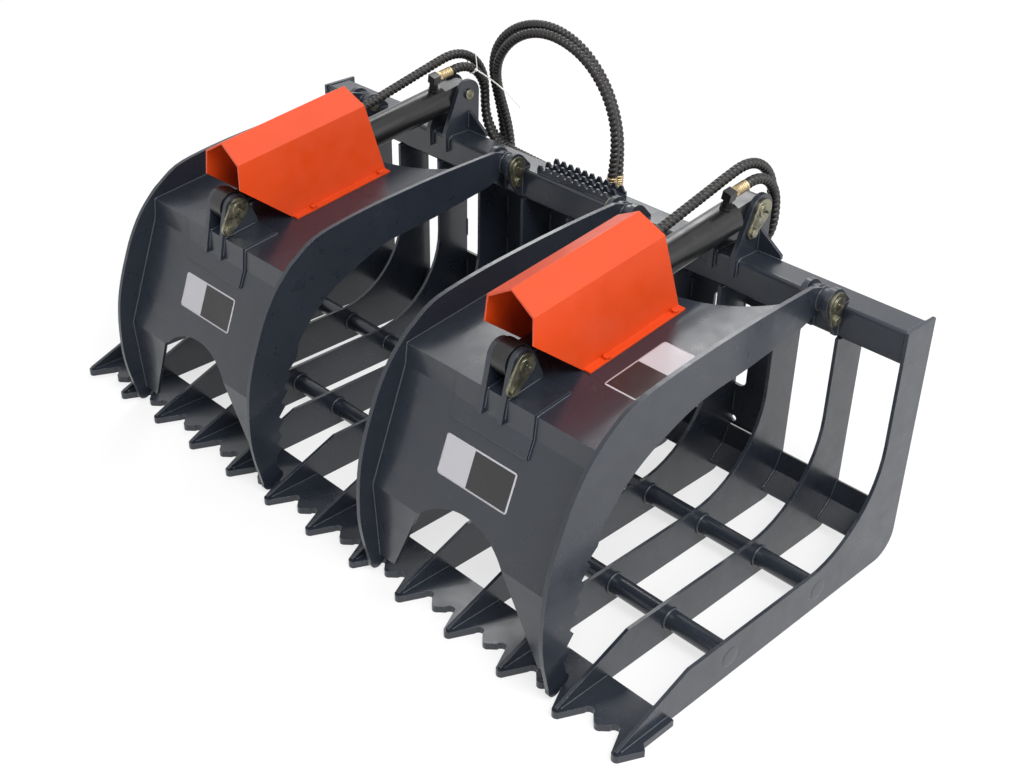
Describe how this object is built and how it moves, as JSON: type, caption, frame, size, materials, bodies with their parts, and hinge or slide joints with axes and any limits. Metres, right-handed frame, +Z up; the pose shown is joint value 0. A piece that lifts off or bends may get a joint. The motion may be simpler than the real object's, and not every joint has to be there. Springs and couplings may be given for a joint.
{
  "type": "skeleton grapple",
  "caption": "Skid-steer skeleton grapple: tined jaw with a toothed cutting edge, hydraulic claws with orange cylinder guards, quick-attach plate and hoses",
  "frame": {"origin": "Middle of the underside of the bounding box without its hoses: under the middle tine, halfway between the tooth tips and the back of the quick-attach plate, on the ground", "axes": "+X along the cutting edge, to the right for someone who faces the teeth; +Y back towards the machine; +Z up; the teeth face -Y"},
  "size_m": [1.8928, 1.022, 0.903],
  "materials": {
    "charcoal_paint": "gloss",
    "orange_paint": "gloss",
    "black_paint": "gloss",
    "yellow_zinc": "satin",
    "fitting_steel": "satin",
    "chromed_rod": "polished",
    "hose_rubber": "matte"
  },
  "bodies": {
    "jaw_frame": {"tine_01": "charcoal_paint", "tine_02": "charcoal_paint", "tine_03": "charcoal_paint", "tine_04": "charcoal_paint", "tine_05": "charcoal_paint", "tine_06": "charcoal_paint", "tine_07": "charcoal_paint", "tine_08": "charcoal_paint", "tine_09": "charcoal_paint", "tine_10": "charcoal_paint", "tine_11": "charcoal_paint", "tine_12": "charcoal_paint", "tine_13": "charcoal_paint", "cutting_edge": "charcoal_paint", "cross_pipes": "charcoal_paint", "top_tube": "charcoal_paint", "heel_plates": "charcoal_paint", "quick_attach_plate": "charcoal_paint", "step_tread": "charcoal_paint", "claw_pivot_ears": "charcoal_paint", "cylinder_towers": "charcoal_paint", "claw_pivot_pins": "yellow_zinc", "tower_pins": "yellow_zinc", "hose_tees": "fitting_steel", "left_base_hose": "hose_rubber", "left_rod_hose": "hose_rubber", "right_base_hose": "hose_rubber", "right_rod_hose": "hose_rubber", "supply_hose_a": "hose_rubber", "supply_hose_b": "hose_rubber", "quick_couplers": "fitting_steel"},
    "left_claw": {"left_claw_inner_arm": "charcoal_paint", "left_claw_outer_arm": "charcoal_paint", "left_claw_top_plate": "charcoal_paint", "left_claw_front_plate": "charcoal_paint", "left_claw_rod_bracket": "charcoal_paint", "left_claw_guard": "orange_paint", "left_claw_guard_bolts": "charcoal_paint", "left_claw_pivot_bushes": "fitting_steel", "left_claw_rod_pin": "yellow_zinc"},
    "left_barrel": {"left_cylinder_barrel": "black_paint", "left_cylinder_gland": "black_paint", "left_cylinder_fittings": "yellow_zinc"},
    "left_rod": {"left_cylinder_rod": "chromed_rod", "left_cylinder_rod_eye": "black_paint"},
    "right_claw": {"right_claw_inner_arm": "charcoal_paint", "right_claw_outer_arm": "charcoal_paint", "right_claw_top_plate": "charcoal_paint", "right_claw_front_plate": "charcoal_paint", "right_claw_rod_bracket": "charcoal_paint", "right_claw_guard": "orange_paint", "right_claw_guard_bolts": "charcoal_paint", "right_claw_pivot_bushes": "fitting_steel", "right_claw_rod_pin": "yellow_zinc"},
    "right_barrel": {"right_cylinder_barrel": "black_paint", "right_cylinder_gland": "black_paint", "right_cylinder_fittings": "yellow_zinc"},
    "right_rod": {"right_cylinder_rod": "chromed_rod", "right_cylinder_rod_eye": "black_paint"}
  },
  "joints": [
    {"name": "left_claw_pivot", "type": "hinge", "parent": "jaw_frame", "child": "left_claw", "pos_m": [-0.4572, 0.314, 0.598], "axis": [-1, 0, 0], "range_deg": [0, 50]},
    {"name": "left_tower_pivot", "type": "hinge", "parent": "jaw_frame", "child": "left_barrel", "pos_m": [-0.4572, 0.406, 0.683], "axis": [-1, 0, 0], "range_deg": [0, 44.7], "deforming": ["left_base_hose", "left_rod_hose"]},
    {"name": "left_rod_slide", "type": "slide", "parent": "left_barrel", "child": "left_rod", "axis": [0, 0.9918, 0.1275], "range_m": [0, 0.0861]},
    {"name": "right_claw_pivot", "type": "hinge", "parent": "jaw_frame", "child": "right_claw", "pos_m": [0.4572, 0.314, 0.598], "axis": [-1, 0, 0], "range_deg": [0, 50]},
    {"name": "right_tower_pivot", "type": "hinge", "parent": "jaw_frame", "child": "right_barrel", "pos_m": [0.4572, 0.406, 0.683], "axis": [-1, 0, 0], "range_deg": [0, 44.7], "deforming": ["right_base_hose", "right_rod_hose"]},
    {"name": "right_rod_slide", "type": "slide", "parent": "right_barrel", "child": "right_rod", "axis": [0, 0.9918, 0.1275], "range_m": [0, 0.0861]}
  ],
  "couplings": [
    {"joint": "left_tower_pivot", "follows": "left_claw_pivot", "ratio": 0.89392},
    {"joint": "left_rod_slide", "follows": "left_claw_pivot", "m_per_rad": 0.098566},
    {"joint": "right_tower_pivot", "follows": "right_claw_pivot", "ratio": 0.89392},
    {"joint": "right_rod_slide", "follows": "right_claw_pivot", "m_per_rad": 0.098566}
  ]
}
